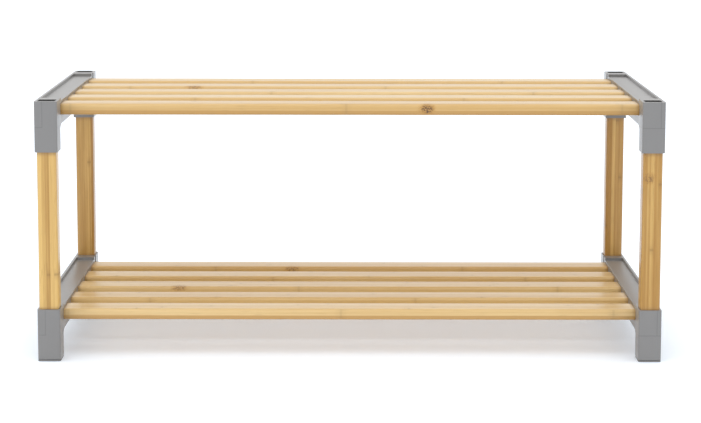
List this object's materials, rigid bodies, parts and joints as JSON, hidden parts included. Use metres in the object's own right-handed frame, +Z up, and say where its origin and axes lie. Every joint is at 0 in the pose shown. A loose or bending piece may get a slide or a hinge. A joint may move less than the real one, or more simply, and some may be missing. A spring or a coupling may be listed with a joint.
{
  "type": "entryway bench",
  "caption": "Low two-tier slatted bench and shoe shelf: bamboo slats held by grey moulded end brackets, joined by square bamboo posts, with open corner sockets on top for stacking",
  "frame": {"origin": "on the floor under the middle of the bench, halfway along its width and its depth", "axes": "X along the slats with +X to the right seen from the front, Y from front to rear, Z up"},
  "size_m": [0.7, 0.372, 0.2936],
  "materials": {
    "bracket_plastic": "mid grey moulded plastic, satin, finely grained",
    "cap_plastic": "slightly darker grey moulded plastic, matt",
    "bamboo_slat": "pale natural bamboo, clear satin lacquer, straight grain along the slat with a few brown node marks",
    "bamboo_post": "natural bamboo laminated from narrow upright strips, clear satin lacquer",
    "screw_steel": "zinc-plated steel"
  },
  "bodies": {
    "root": {"bracket_lower_left": "bracket_plastic", "bracket_lower_right": "bracket_plastic", "bracket_upper_left": "bracket_plastic", "bracket_upper_right": "bracket_plastic", "post_front_left": "bamboo_post", "post_front_right": "bamboo_post", "post_rear_left": "bamboo_post", "post_rear_right": "bamboo_post", "foot_cap_front_left": "cap_plastic", "foot_cap_front_right": "cap_plastic", "foot_cap_rear_left": "cap_plastic", "foot_cap_rear_right": "cap_plastic", "seat_slat_1": "bamboo_slat", "seat_slat_2": "bamboo_slat", "seat_slat_3": "bamboo_slat", "seat_slat_4": "bamboo_slat", "seat_slat_5": "bamboo_slat", "shelf_slat_1": "bamboo_slat", "shelf_slat_2": "bamboo_slat", "shelf_slat_3": "bamboo_slat", "shelf_slat_4": "bamboo_slat", "shelf_slat_5": "bamboo_slat", "seat_screw_left_1": "screw_steel", "seat_screw_left_2": "screw_steel", "seat_screw_left_3": "screw_steel", "seat_screw_left_4": "screw_steel", "seat_screw_left_5": "screw_steel", "seat_screw_right_1": "screw_steel", "seat_screw_right_2": "screw_steel", "seat_screw_right_3": "screw_steel", "seat_screw_right_4": "screw_steel", "seat_screw_right_5": "screw_steel", "shelf_screw_left_1": "screw_steel", "shelf_screw_left_2": "screw_steel", "shelf_screw_left_3": "screw_steel", "shelf_screw_left_4": "screw_steel", "shelf_screw_left_5": "screw_steel", "shelf_screw_right_1": "screw_steel", "shelf_screw_right_2": "screw_steel", "shelf_screw_right_3": "screw_steel", "shelf_screw_right_4": "screw_steel", "shelf_screw_right_5": "screw_steel"}
  },
  "joints": []
}
